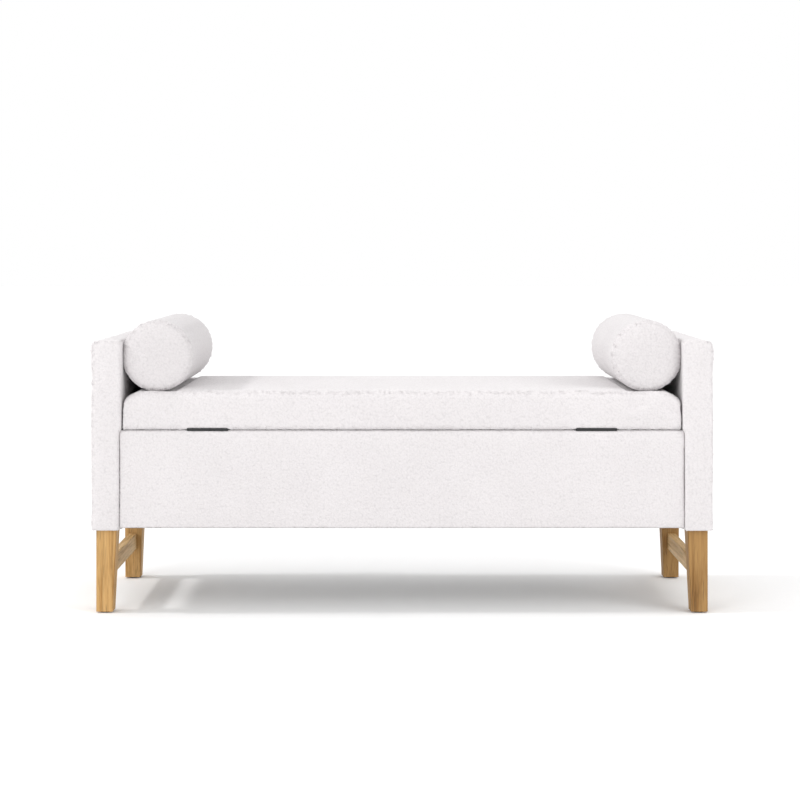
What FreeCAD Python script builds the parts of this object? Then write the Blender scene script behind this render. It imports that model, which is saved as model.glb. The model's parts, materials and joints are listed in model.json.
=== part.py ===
import FreeCAD, Part
import os
import re
import Sketcher

# Storage bench. Millimetres, +Z up, origin on the floor under the middle of the bench.
# +X is the right-hand end seen from the front, and the front is at -Y.

DIMS = {
    # whole bench
    "width": 1300, "depth": 430, "arm_height": 572, "underside": 178,
    # upholstery layers and rounding
    "fabric": 2.5, "wrap_foam": 6, "arm_edge_round": 12, "arm_top_round": 10, "panel_round": 5,
    # arms
    "arm_thickness": 63, "skin": 5, "upright": 60, "rail": 50,
    # box between the arms
    "panel_setback": 8, "board": 15, "box_top": 381, "cleat": 20, "cleat_length": 1120,
    "floor_level": 202, "floor_board": 9, "floor_play": 1, "cloth": 1, "cloth_inset": 7,
    # lid
    "seam": 6, "seat_top": 464, "lid_gap": 5, "lid_top_round": 18, "lid_edge_round": 8,
    "lid_hem": 34, "bumper_middle": 407, "bumper_length": 85, "bumper_front": 1,
    "bumper_depth": 16, "bumper_play": 0.3,
    # corner brackets, bolts and screws
    "plate": 2.5, "bracket_reach": 40, "bracket_bottom": 222, "bracket_height": 80,
    "bolt_inset": 20, "bolt_radius": 3, "bolt_length": 41, "bolt_head": 6, "bolt_head_height": 4,
    "screw_radius": 2, "screw_length": 14, "screw_head": 4, "screw_head_height": 2.5,
    # butt hinges
    "hinge_middle": 400, "hinge_width": 80, "hinge_play": 0.3, "leaf": 1.8, "leaf_front": 184,
    "leaf_back": 206.5, "pivot_back": 3.5, "knuckle": 3, "pin": 1.5, "pin_play": 0.05,
    "pin_head": 2.5, "pin_head_height": 1, "hinge_screw_pitch": 27, "hinge_screw_row": 191,
    "hinge_screw": 1.75, "hinge_screw_head": 3.5, "box_screw_length": 20, "lid_screw_length": 15,
    # lid stays: two parallel bars, the lid being one of them
    "stay_y": 170, "stay_z": 340, "stay_run": 180, "stay_drop": 12, "link_run": 40.5,
    "link_rise": 44, "bar_half": 8, "stud": 3, "stud_head": 5, "stud_play": 0.05,
    "knee_play": 0.3, "side_play": 0.3, "head_height": 2, "bar_offset": 4, "link_offset": 7,
    "flange_offset": 11.5, "base_half_height": 20, "base_front": 22, "base_rear": 12,
    "base_screw_y": 155, "base_screw_rise": 13, "flange_reach": 30.5, "flange_half": 20.5,
    "lid_screw_x": 560, "lid_screw_half": 13.5,
    # legs
    "leg_inset": 10, "leg_top": 43, "leg_foot": 35, "leg_round": 2.5, "glide_radius": 11,
    "glide_height": 3, "nail_radius": 1.25, "nail_length": 15, "hanger_radius": 4,
    "hanger_depth": 45, "insert_radius": 6, "insert_length": 20,
    "stretcher_inset": 17.5, "stretcher_thick": 19, "stretcher_high": 36,
    "stretcher_bottom": 68.5, "stretcher_half": 180, "stretcher_round": 2,
    # bolsters
    "bolster_x": 511.2, "bolster_radius": 75.2, "bolster_half": 200, "bolster_round": 40,
    "bolster_play": 0.5,
}

doc = FreeCAD.newDocument("StorageBench")
sheet = doc.addObject("Spreadsheet::Sheet", "Dims")
for row, (alias, size) in enumerate(DIMS.items(), 1):
    sheet.set(f"A{row}", alias)
    sheet.set(f"B{row}", str(size))
    sheet.setAlias(f"B{row}", alias)
doc.recompute()

X_AXIS, Y_AXIS = FreeCAD.Vector(1, 0, 0), FreeCAD.Vector(0, 1, 0)
NODES = []


# ---------------------------------------------------------------- helpers

def bind(thing, prop, text):
    """Bind a property to a formula in the sheet's names."""
    full = re.sub(r"[a-z_]+", lambda w: "Dims." + w[0] if w[0] in DIMS else w[0], text)
    thing.setExpression(prop, full)


def both(text):
    """The span from -text to +text."""
    return f"-({text})", text


def inset(span, by):
    return f"{span[0]} + {by}", f"{span[1]} - ({by})"


def added(kind, label):
    thing = doc.addObject(kind, label)
    thing.Label = label
    return thing


def node(thing, label):
    """Register an object as a piece of the bench, under the name of its file."""
    thing.Label = label
    NODES.append(thing)
    return thing


def sketch_on(body, label, role, level):
    """An empty sketch on one of the body's own origin planes, raised by level along its normal."""
    plane = [part for part in body.Origin.OriginFeatures if part.Role == role][0]
    sketch = body.newObject("Sketcher::SketchObject", label)
    sketch.AttachmentSupport = [(plane, "")]
    sketch.MapMode = "FlatFace"
    bind(sketch, ".AttachmentOffset.Base.z", level)
    return sketch


def outline(body, label, role, level, *loops):
    """A sketch of closed polygons whose corners are pairs of formulas."""
    sketch = sketch_on(body, label, role, level)
    first = 0
    for loop in loops:
        count = len(loop)
        rough = [FreeCAD.Vector(10 * i, (7 * i * i) % 31, 0) for i in range(count)]
        for i in range(count):
            sketch.addGeometry(Part.LineSegment(rough[i], rough[(i + 1) % count]))
        for i, corner in enumerate(loop):
            edge = first + i
            after = first + (i + 1) % count
            sketch.addConstraint(Sketcher.Constraint("Coincident", edge, 2, after, 1))
            for kind, text, at in zip(("DistanceX", "DistanceY"), corner, (rough[i].x, rough[i].y)):
                made = sketch.addConstraint(Sketcher.Constraint(kind, -1, 1, edge, 1, at))
                name = f"{kind[-1].lower()}{edge}"
                sketch.renameConstraint(made, name)
                bind(sketch, f"Constraints.{name}", text)
        first += count
    return sketch


def disc(body, label, role, level, centre, radius):
    """A sketch of one circle."""
    sketch = sketch_on(body, label, role, level)
    sketch.addGeometry(Part.Circle(FreeCAD.Vector(1, 1, 0), FreeCAD.Vector(0, 0, 1), 5))
    for name, made, text in (
        ("u", Sketcher.Constraint("DistanceX", -1, 1, 0, 3, 1), centre[0]),
        ("v", Sketcher.Constraint("DistanceY", -1, 1, 0, 3, 1), centre[1]),
        ("radius", Sketcher.Constraint("Radius", 0, 5), radius),
    ):
        sketch.renameConstraint(sketch.addConstraint(made), name)
        bind(sketch, f"Constraints.{name}", text)
    return sketch


def pad(body, sketch, length):
    feature = body.newObject("PartDesign::Pad", body.Label + "_pad")
    feature.Profile = sketch
    bind(feature, "Length", length)
    return body


def rectangle(u, v):
    return [(u[0], v[0]), (u[1], v[0]), (u[1], v[1]), (u[0], v[1])]


def slab(label, x, y, z):
    """A board: a rectangle over x and y, padded from z[0] to z[1]."""
    body = added("PartDesign::Body", label)
    sketch = outline(body, label + "_outline", "XY_Plane", z[0], rectangle(x, y))
    return pad(body, sketch, f"({z[1]}) - ({z[0]})")


def extrusion(label, x, *loops):
    """A section drawn in Y and Z, padded along X over the span x."""
    body = added("PartDesign::Body", label)
    sketch = outline(body, label + "_section", "YZ_Plane", x[0], *loops)
    return pad(body, sketch, f"({x[1]}) - ({x[0]})")


def turned(label, profile):
    """A piece turned about Z from a profile of radius and height pairs."""
    body = added("PartDesign::Body", label)
    sketch = outline(body, label + "_profile", "XZ_Plane", "0", profile)
    turn = body.newObject("PartDesign::Revolution", label + "_turn")
    turn.Profile = sketch
    turn.ReferenceAxis = (sketch, ["V_Axis"])
    turn.Angle = 360
    return body


def rounded(body, radius, wanted):
    """Round the edges of a body for which wanted(edge) is true."""
    doc.recompute()
    tip = body.Tip
    names = [f"Edge{i}" for i, edge in enumerate(tip.Shape.Edges, 1) if wanted(edge)]
    feature = body.newObject("PartDesign::Fillet", body.Label + "_round")
    feature.Base = (tip, names)
    bind(feature, "Radius", radius)
    return body


def upright_edge(edge):
    box = edge.BoundBox
    return box.ZLength > 4 * max(box.XLength, box.YLength)


def top_edge(edge):
    """True for an edge that lies at the level of the highest arm or lid surface of its body."""
    box = edge.BoundBox
    return box.ZLength < 0.01 and box.ZMin > 390


def rounded_block(label, x, y, z, edge_round, top_round):
    return rounded(rounded(slab(label, x, y, z), edge_round, upright_edge), top_round, top_edge)


def box(label, x, y, z):
    """A plain box primitive over three spans."""
    solid = added("Part::Box", label)
    for prop, axis, span in (("Length", "x", x), ("Width", "y", y), ("Height", "z", z)):
        bind(solid, prop, f"({span[1]}) - ({span[0]})")
        bind(solid, f".Placement.Base.{axis}", span[0])
    return solid


def rod(label, x, y, z, radius):
    """A cylinder along X over the span x, centred on y and z."""
    solid = added("Part::Cylinder", label)
    bind(solid, "Radius", radius)
    bind(solid, "Height", f"({x[1]}) - ({x[0]})")
    solid.Placement.Rotation = FreeCAD.Rotation(Y_AXIS, 90)
    for axis, text in (("x", x[0]), ("y", y), ("z", z)):
        bind(solid, f".Placement.Base.{axis}", text)
    return solid


def fused(label, *solids):
    union = added("Part::MultiFuse", label)
    union.Shapes = list(solids)
    return union


def group(label, *solids):
    bundle = added("Part::Compound", label)
    bundle.Links = list(solids)
    return bundle


def cut(label, base, *tools):
    """A piece less other pieces, which then fit it face to face."""
    difference = added("Part::Cut", label)
    difference.Base = base
    difference.Tool = tools[0] if len(tools) == 1 else group(label + "_cutters", *tools)
    return difference


def mirrored(label, source, normal):
    image = added("Part::Mirroring", label)
    image.Source = source
    image.Normal = normal
    return image


def pair(label, right):
    """Both ends of the bench: a piece and its mirror image, in one group."""
    return node(group(label, right, mirrored(label + "_image", right, X_AXIS)), label)


def quad(label, rear_right):
    """All four corners: a piece and its images, in one group."""
    side = group(label + "_side", rear_right, mirrored(label + "_front", rear_right, Y_AXIS))
    return pair(label, side), side


def both_ends(name, right):
    """Two pieces of their own, NAME_right and NAME_left."""
    node(right, name + "_right")
    node(mirrored(name + "_left", right, X_AXIS), name + "_left")


TURNS = {
    "+X": FreeCAD.Rotation(Y_AXIS, 90),
    "+Y": FreeCAD.Rotation(X_AXIS, -90),
    "+Z": FreeCAD.Rotation(),
    "-Z": FreeCAD.Rotation(X_AXIS, 180),
}


def copies(label, master, heading, places):
    """Copies of a turned piece, its axis along heading, at each of the places."""
    links = []
    for i, place in enumerate(places, 1):
        link = added("App::Link", f"{label}_{i}")
        link.LinkedObject = master
        link.Placement = FreeCAD.Placement(FreeCAD.Vector(), TURNS[heading])
        for axis, text in zip("xyz", place):
            bind(link, f".Placement.Base.{axis}", text)
        links.append(link)
    return group(label, *links)


# ---------------------------------------------------------------- shared levels and faces

ARM_FACE = "width/2 - arm_thickness"        # the face of an arm that looks into the bench
PANEL_FACE = "depth/2 - panel_setback"      # the outer face of the front and rear panels
BOARD_FACE = PANEL_FACE + " - fabric - wrap_foam"
BOX_WALL = BOARD_FACE + " - board"          # the inner face of the front and rear boards
LID_UNDER = "box_top + seam"
LID_END = ARM_FACE + " - lid_gap"
PIVOT_Y = PANEL_FACE + " + pivot_back"
PIVOT_Z = "box_top + seam/2"
LEG_OUT_X, LEG_OUT_Y = "width/2 - leg_inset", "depth/2 - leg_inset"


# ---------------------------------------------------------------- fasteners

arm_bolt = turned("arm_bolt", [
    ("0", "-bolt_head_height"), ("bolt_head", "-bolt_head_height"), ("bolt_head", "0"),
    ("bolt_radius", "0"), ("bolt_radius", "bolt_length"), ("0", "bolt_length")])
panel_screw = turned("panel_screw", [
    ("0", "-screw_head_height"), ("screw_head", "-screw_head_height"), ("screw_head", "0"),
    ("screw_radius", "0"), ("screw_radius", "screw_length"), ("0", "screw_length")])


def flat_screw(label, head_depth, length):
    """A countersunk screw with its head flush at height 0."""
    return turned(label, [
        ("0", "0"), ("hinge_screw_head", "0"), ("hinge_screw", head_depth),
        ("hinge_screw", length), ("0", length)])


box_screw = flat_screw("box_screw", "leaf", "box_screw_length")
lid_screw = flat_screw("lid_screw", "leaf", "lid_screw_length")
plate_screw = flat_screw("plate_screw", "plate", "box_screw_length")
stay_screw = flat_screw("stay_screw", "plate", "lid_screw_length")

BOLT_LEVELS = ["bracket_bottom + bolt_inset", "bracket_bottom + bracket_height - bolt_inset"]
bolts_here = copies("bolts_here", arm_bolt, "+X", [
    (ARM_FACE + " - plate", BOX_WALL + " - bracket_reach/2", z) for z in BOLT_LEVELS])
arm_bolts, bolts_right = quad("arm_bolts", bolts_here)
screws_here = copies("screws_here", panel_screw, "+Y", [
    (ARM_FACE + " - bracket_reach/2", BOX_WALL + " - plate", z) for z in BOLT_LEVELS])
panel_screws, screws_right = quad("panel_screws", screws_here)

base_screws_right = copies("base_screws_right", plate_screw, "+X", [
    (ARM_FACE + " - plate", "base_screw_y", z)
    for z in ("stay_z - base_screw_rise", "stay_z + base_screw_rise")])
stay_base_screws = pair("stay_base_screws", base_screws_right)

FLANGE_Y = "stay_y - stay_run + link_run"   # middle of the lid bracket, at its pivot
stay_lid_right = copies("stay_lid_right", stay_screw, "+Z", [
    ("lid_screw_x", y, LID_UNDER + " - plate")
    for y in (FLANGE_Y + " - lid_screw_half", FLANGE_Y + " + lid_screw_half")])
stay_lid_screws = pair("stay_lid_screws", stay_lid_right)

HINGE_SCREWS_X = ["hinge_middle - hinge_screw_pitch", "hinge_middle",
                  "hinge_middle + hinge_screw_pitch"]
hinge_box_right = copies("hinge_box_right", box_screw, "-Z", [
    (x, "hinge_screw_row", "box_top + leaf") for x in HINGE_SCREWS_X])
hinge_box_screws = pair("hinge_box_screws", hinge_box_right)
hinge_lid_right = copies("hinge_lid_right", lid_screw, "+Z", [
    (x, "hinge_screw_row", LID_UNDER + " - leaf") for x in HINGE_SCREWS_X])
hinge_lid_screws = pair("hinge_lid_screws", hinge_lid_right)


# ---------------------------------------------------------------- legs

LEG_X, LEG_Y = LEG_OUT_X + " - leg_top/2", LEG_OUT_Y + " - leg_top/2"
FOOT_X, FOOT_Y = LEG_OUT_X + " - leg_foot/2", LEG_OUT_Y + " - leg_foot/2"

hanger = turned("hanger", rectangle(
    ("0", "hanger_radius"), ("-hanger_depth", "fabric + insert_length")))
sleeve = turned("sleeve", rectangle(
    ("hanger_radius", "insert_radius"), ("fabric", "fabric + insert_length")))
glide = turned("glide", [
    ("0", "0"), ("glide_radius", "0"), ("glide_radius", "glide_height"),
    ("nail_radius", "glide_height"), ("nail_radius", "glide_height + nail_length"),
    ("0", "glide_height + nail_length")])
hangers, hangers_right = quad(
    "hanger_bolts", copies("hanger_here", hanger, "+Z", [(LEG_X, LEG_Y, "underside")]))
sleeves, sleeves_right = quad(
    "threaded_inserts", copies("sleeve_here", sleeve, "+Z", [(LEG_X, LEG_Y, "underside")]))
glides, glides_right = quad(
    "leg_glides", copies("glide_here", glide, "+Z", [(FOOT_X, FOOT_Y, "0")]))

STRETCHER_OUT = "width/2 - stretcher_inset"
stretcher_bar = slab("stretcher_bar", (STRETCHER_OUT + " - stretcher_thick", STRETCHER_OUT),
                     both("stretcher_half"),
                     ("stretcher_bottom", "stretcher_bottom + stretcher_high"))
rounded(stretcher_bar, "stretcher_round", lambda edge: edge.BoundBox.YLength > 100)

leg_blank = added("PartDesign::Body", "leg_blank")
leg_head = outline(leg_blank, "leg_head", "XY_Plane", "underside", rectangle(
    (LEG_OUT_X + " - leg_top", LEG_OUT_X), (LEG_OUT_Y + " - leg_top", LEG_OUT_Y)))
leg_sole = outline(leg_blank, "leg_sole", "XY_Plane", "glide_height", rectangle(
    (LEG_OUT_X + " - leg_foot", LEG_OUT_X), (LEG_OUT_Y + " - leg_foot", LEG_OUT_Y)))
taper = leg_blank.newObject("PartDesign::AdditiveLoft", "leg_taper")
taper.Profile = leg_head
taper.Sections = [leg_sole]
taper.Ruled = True
rounded(leg_blank, "leg_round", upright_edge)

leg_rear = cut("leg_rear", leg_blank, stretcher_bar, hangers_right, glides_right)
leg_front = mirrored("leg_front", leg_rear, Y_AXIS)
both_ends("leg_rear", leg_rear)
both_ends("leg_front", leg_front)
both_ends("stretcher", stretcher_bar)


# ---------------------------------------------------------------- arms

ARM_X, ARM_Y = (ARM_FACE, "width/2"), both("depth/2")
CORE_X = inset(ARM_X, "fabric + wrap_foam")
CORE_Y = both("depth/2 - fabric - wrap_foam")
CORE_Z = ("underside + fabric", "arm_height - fabric - wrap_foam")

arm_outside = rounded_block("arm_outside", ARM_X, ARM_Y, ("underside", "arm_height"),
                            "arm_edge_round", "arm_top_round")
arm_inside = rounded_block(
    "arm_inside", inset(ARM_X, "fabric"), both("depth/2 - fabric"),
    ("underside + fabric", "arm_height - fabric"),
    "arm_edge_round - fabric", "arm_top_round - fabric")
arm_core = slab("arm_core", CORE_X, CORE_Y, CORE_Z)

arm_fixings = group("arm_fixings", bolts_right, base_screws_right)
both_ends("arm_cover", cut("arm_cover", arm_outside, arm_inside, arm_fixings, hangers_right))
both_ends("arm_foam", cut("arm_foam", arm_inside, arm_core, arm_fixings))

inner_skin = slab("inner_skin", (CORE_X[0], CORE_X[0] + " + skin"), CORE_Y, CORE_Z)
both_ends("arm_inner_skin", cut("arm_inner_skin", inner_skin, arm_fixings))
both_ends("arm_outer_skin",
          slab("arm_outer_skin", (CORE_X[1] + " - skin", CORE_X[1]), CORE_Y, CORE_Z))

window = rectangle(both("depth/2 - fabric - wrap_foam - upright"),
                   (CORE_Z[0] + " + rail", CORE_Z[1] + " - rail"))
frame_ring = extrusion("frame_ring", (CORE_X[0] + " + skin", CORE_X[1] + " - skin"),
                       rectangle(CORE_Y, CORE_Z), window)
both_ends("arm_frame",
          cut("arm_frame", frame_ring, arm_fixings, sleeves_right, hangers_right))


# ---------------------------------------------------------------- box

BOX_X = both(ARM_FACE)
LAYER_LOW, LAYER_HIGH = "underside + fabric", "box_top - fabric"


def facing(side, points):
    """Section corners on the rear side, or turned over to the front."""
    return [(y if side == "rear" else f"-({y})", z) for y, z in points]


for side, edge_foam in (("front", "wrap_foam"), ("rear", "0")):
    skin_y = PANEL_FACE + " - fabric"
    board_top = f"{LAYER_HIGH} - {edge_foam}"
    cover = extrusion(side + "_cover_blank", BOX_X, facing(side, [
        (PANEL_FACE, "underside"), (PANEL_FACE, "box_top"), (BOX_WALL, "box_top"),
        (BOX_WALL, LAYER_HIGH), (skin_y, LAYER_HIGH), (skin_y, LAYER_LOW),
        (BOX_WALL, LAYER_LOW), (BOX_WALL, "underside")]))
    rounded(cover, "panel_round", lambda edge: edge.BoundBox.XLength > 900
            and abs(edge.BoundBox.YMin) > DIMS["depth"] / 2 - DIMS["panel_setback"] - 0.1)
    board = extrusion(side + "_board_blank", BOX_X, facing(side, rectangle(
        (BOX_WALL, BOARD_FACE), (LAYER_LOW, board_top))))
    section = rectangle((BOARD_FACE, skin_y), (LAYER_LOW, LAYER_HIGH))
    if side == "front":
        section = [(skin_y, LAYER_LOW), (skin_y, LAYER_HIGH), (BOX_WALL, LAYER_HIGH),
                   (BOX_WALL, board_top), (BOARD_FACE, board_top), (BOARD_FACE, LAYER_LOW)]
    node(extrusion(side + "_foam", BOX_X, facing(side, section)), side + "_foam")
    holes = [panel_screws] + ([hinge_box_screws] if side == "rear" else [])
    node(cut(side + "_board", board, *holes), side + "_board")
    node(cut(side + "_cover", cover, hinge_box_screws) if side == "rear" else cover,
         side + "_cover")

cleat_y = (BOX_WALL + " - cleat", BOX_WALL)
rear_cleat = slab("rear_cleat", both("cleat_length/2"), cleat_y,
                  ("floor_level - cleat", "floor_level"))
node(rear_cleat, "rear_cleat")
node(mirrored("front_cleat", rear_cleat, Y_AXIS), "front_cleat")
node(slab("bottom_board", both(ARM_FACE + " - floor_play"), both(BOX_WALL + " - floor_play/2"),
          ("floor_level", "floor_level + floor_board")), "bottom_board")
node(slab("bottom_dust_cover", both(ARM_FACE + " - floor_play"),
          both(PANEL_FACE + " - cloth_inset"), ("underside - cloth", "underside")),
     "bottom_dust_cover")

bracket_blank = added("PartDesign::Body", "bracket_blank")
pad(bracket_blank, outline(bracket_blank, "bracket_plan", "XY_Plane", "bracket_bottom", [
    (ARM_FACE, BOX_WALL), (ARM_FACE + " - bracket_reach", BOX_WALL),
    (ARM_FACE + " - bracket_reach", BOX_WALL + " - plate"),
    (ARM_FACE + " - plate", BOX_WALL + " - plate"),
    (ARM_FACE + " - plate", BOX_WALL + " - bracket_reach"),
    (ARM_FACE, BOX_WALL + " - bracket_reach")]), "bracket_height")
quad("corner_brackets", cut("bracket", bracket_blank, bolts_here, screws_here))

pair("lid_bumpers", slab(
    "bumper", ("bumper_middle - bumper_length/2", "bumper_middle + bumper_length/2"),
    (f"-({PANEL_FACE} - bumper_front)", f"-({PANEL_FACE} - bumper_front - bumper_depth)"),
    ("box_top", "box_top + seam - bumper_play")))


# ---------------------------------------------------------------- lid

lid_screws = group("lid_fixings", hinge_lid_screws, stay_lid_screws)
lid_outside = rounded_block("lid_outside", both(LID_END), both(PANEL_FACE),
                            (LID_UNDER, "seat_top"), "lid_edge_round", "lid_top_round")
lid_inside = rounded_block(
    "lid_inside", both(LID_END + " - fabric"), both(PANEL_FACE + " - fabric"),
    (LID_UNDER + " + fabric", "seat_top - fabric"),
    "lid_edge_round - fabric", "lid_top_round - fabric")
BOARD_Z = (LID_UNDER + " + fabric", LID_UNDER + " + fabric + board")
lid_board = slab("lid_board_blank", both(LID_END + " - fabric - wrap_foam"), both(BOARD_FACE),
                 BOARD_Z)
lid_mouth = slab("lid_mouth", both(LID_END + " - lid_hem"), both(PANEL_FACE + " - lid_hem"),
                 (LID_UNDER, LID_UNDER + " + fabric"))
node(cut("lid_board", lid_board, lid_screws), "lid_board")
node(cut("lid_foam", lid_inside, lid_board), "lid_foam")
node(cut("lid_cover", lid_outside, lid_inside, lid_mouth, lid_screws), "lid_cover")
node(slab("lid_dust_cover", both(LID_END + " - lid_hem - cloth"),
          both(PANEL_FACE + " - lid_hem - cloth"),
          (LID_UNDER + " + fabric - cloth", LID_UNDER + " + fabric")), "lid_dust_cover")


# ---------------------------------------------------------------- hinges

HINGE_LEFT = "hinge_middle - hinge_width/2"
SEGMENT = "(hinge_width - 4*hinge_play)/5"
bore = rod("hinge_bore", (HINGE_LEFT + " - 1", HINGE_LEFT + " + hinge_width + 1"),
           PIVOT_Y, PIVOT_Z, "pin + pin_play")
for owner, segments, level, screws in (
    ("box", (0, 2, 4), ("box_top", "box_top + leaf"), hinge_box_right),
    ("lid", (1, 3), (LID_UNDER + " - leaf", LID_UNDER), hinge_lid_right),
):
    name = f"hinge_{owner}_leaf"
    pieces = [box(name + "_plate", (HINGE_LEFT, HINGE_LEFT + " + hinge_width"),
                  ("leaf_front", "leaf_back"), level)]
    for i in segments:
        start = f"{HINGE_LEFT} + {i}*({SEGMENT} + hinge_play)"
        reach = (start, f"{start} + {SEGMENT}")
        pieces.append(box(f"{name}_finger_{i}", reach, ("leaf_back", PIVOT_Y), level))
        pieces.append(rod(f"{name}_knuckle_{i}", reach, PIVOT_Y, PIVOT_Z, "knuckle"))
    both_ends(name, cut(name, fused(name + "_blank", *pieces), bore, screws))

pin_shank = rod("pin_shank", (HINGE_LEFT, HINGE_LEFT + " + hinge_width"),
                PIVOT_Y, PIVOT_Z, "pin")
pin_heads = [rod(f"pin_head_{i}", reach, PIVOT_Y, PIVOT_Z, "pin_head") for i, reach in enumerate((
    (HINGE_LEFT + " - pin_head_height", HINGE_LEFT),
    (HINGE_LEFT + " + hinge_width", HINGE_LEFT + " + hinge_width + pin_head_height")))]
pair("hinge_pins", fused("hinge_pin", pin_shank, *pin_heads))


# ---------------------------------------------------------------- lid stays

# Rest positions of the three pivots: on the arm, at the knee and on the lid. The stay arm is
# parallel to the line from the hinge to the lid pivot, and as long.
STAY_LENGTH = "sqrt(stay_run^2 + stay_drop^2)"
LINK_LENGTH = "sqrt(link_run^2 + link_rise^2)"
ARM_PIVOT = ("stay_y", "stay_z")
KNEE = ("stay_y - stay_run", "stay_z - stay_drop")
LID_PIVOT = (KNEE[0] + " + link_run", KNEE[1] + " + link_rise")

BAR_X = (ARM_FACE + " - bar_offset - plate", ARM_FACE + " - bar_offset")
LINK_X = (ARM_FACE + " - link_offset - plate", ARM_FACE + " - link_offset")
FLANGE_X = (ARM_FACE + " - flange_offset - plate", ARM_FACE + " - flange_offset")


def bar(label, x, start, end, run, rise, length):
    """A flat bar with round ends between two pivots."""
    shift = (f"bar_half*{rise}/{length}", f"bar_half*{run}/{length}")
    sides = [(f"{p[0]} {a} {shift[0]}", f"{p[1]} {b} {shift[1]}")
             for p, a, b in ((start, "-", "+"), (end, "-", "+"), (end, "+", "-"),
                             (start, "+", "-"))]
    ends = [rod(f"{label}_end_{i}", x, *p, "bar_half") for i, p in enumerate((start, end))]
    return fused(label + "_blank", extrusion(label + "_flat", x, sides), *ends)


stay_bar = bar("stay_arm", BAR_X, KNEE, ARM_PIVOT, "stay_run", "stay_drop", STAY_LENGTH)
link_bar = bar("stay_link", LINK_X, KNEE, LID_PIVOT, "link_run", "link_rise", LINK_LENGTH)

knee_shank = rod("knee_shank", (LINK_X[0] + " - side_play", BAR_X[1]), *KNEE, "stud")
knee_head = rod("knee_head", (LINK_X[0] + " - side_play - head_height",
                              LINK_X[0] + " - side_play"), *KNEE, "stud_head")
knee_tail = rod("knee_tail", (BAR_X[1], BAR_X[1] + " + head_height/2"), *KNEE, "stud_head")
both_ends("stay_knee_rivet", fused("stay_knee_rivet", knee_shank, knee_head, knee_tail))

arm_hole = rod("arm_hole", BAR_X, *ARM_PIVOT, "stud + stud_play")
both_ends("stay_arm", cut("stay_arm", stay_bar, arm_hole, knee_shank))
link_holes = (rod("link_lid_hole", LINK_X, *LID_PIVOT, "stud + stud_play"),
              rod("link_knee_hole", LINK_X, *KNEE, "stud + knee_play"))
both_ends("stay_link", cut("stay_link", link_bar, *link_holes))

base_blank = fused(
    "stay_base_blank",
    box("base_plate", (ARM_FACE + " - plate", ARM_FACE),
        ("stay_y - base_front", "stay_y + base_rear"),
        ("stay_z - base_half_height", "stay_z + base_half_height")),
    rod("base_shoulder", (BAR_X[1] + " + side_play", ARM_FACE + " - plate"),
        *ARM_PIVOT, "stud_head"),
    rod("base_stud", (BAR_X[0] + " - side_play", BAR_X[1] + " + side_play"),
        *ARM_PIVOT, "stud"),
    rod("base_head", (BAR_X[0] + " - side_play - head_height", BAR_X[0] + " - side_play"),
        *ARM_PIVOT, "stud_head"))
both_ends("stay_base", cut("stay_base", base_blank, base_screws_right))

FLANGE_SPAN = (FLANGE_Y + " - flange_half", FLANGE_Y + " + flange_half")
flange_blank = fused(
    "stay_lid_bracket_blank",
    box("flange_flat", (FLANGE_X[1] + " - flange_reach", FLANGE_X[1]), FLANGE_SPAN,
        (LID_UNDER + " - plate", LID_UNDER)),
    box("flange_drop", FLANGE_X, inset(FLANGE_SPAN, "bar_half"),
        (LID_PIVOT[1] + " - bar_half - 2", LID_UNDER)),
    rod("flange_shoulder", (FLANGE_X[1], LINK_X[0] + " - side_play"), *LID_PIVOT, "stud_head"),
    rod("flange_stud", (LINK_X[0] + " - side_play", LINK_X[1] + " + side_play"),
        *LID_PIVOT, "stud"),
    rod("flange_head", (LINK_X[1] + " + side_play", LINK_X[1] + " + side_play + head_height"),
        *LID_PIVOT, "stud_head"))
both_ends("stay_lid_bracket", cut("stay_lid_bracket", flange_blank, stay_lid_right))


# ---------------------------------------------------------------- bolsters

def bolster(label, layer):
    """A round-ended roll lying front to back, smaller all round by layer."""
    body = added("PartDesign::Body", label)
    middle = "seat_top + bolster_play + bolster_radius"
    end = disc(body, label + "_end", "XZ_Plane", f"-(bolster_half - {layer})",
               ("bolster_x", middle), f"bolster_radius - {layer}")
    pad(body, end, f"2*(bolster_half - {layer})")
    return rounded(body, f"bolster_round - {layer}", lambda edge: edge.BoundBox.YLength < 0.01)


bolster_core = bolster("bolster_core", "fabric")
both_ends("bolster_cover", cut("bolster_cover", bolster("bolster_outside", "0"), bolster_core))
both_ends("bolster_core", bolster_core)


# ---------------------------------------------------------------- check and write

doc.recompute()
failed = [thing.Label for thing in doc.Objects
          if "Invalid" in thing.State or "Error" in thing.State]
if failed:
    raise SystemExit(f"these objects failed: {failed}")
names = [thing.Label for thing in NODES]
if len(set(names)) != len(names):
    raise SystemExit("two pieces share a name")
for thing in NODES:
    if thing.Shape.isNull() or not thing.Shape.isValid() or not thing.Shape.Solids:
        raise SystemExit(f"{thing.Label} has no valid shape")

os.makedirs("parts", exist_ok=True)
for thing in NODES:
    thing.Shape.exportStep(f"parts/{thing.Label}.step")
print(len(NODES), "pieces written")
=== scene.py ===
import json
import math

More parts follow.
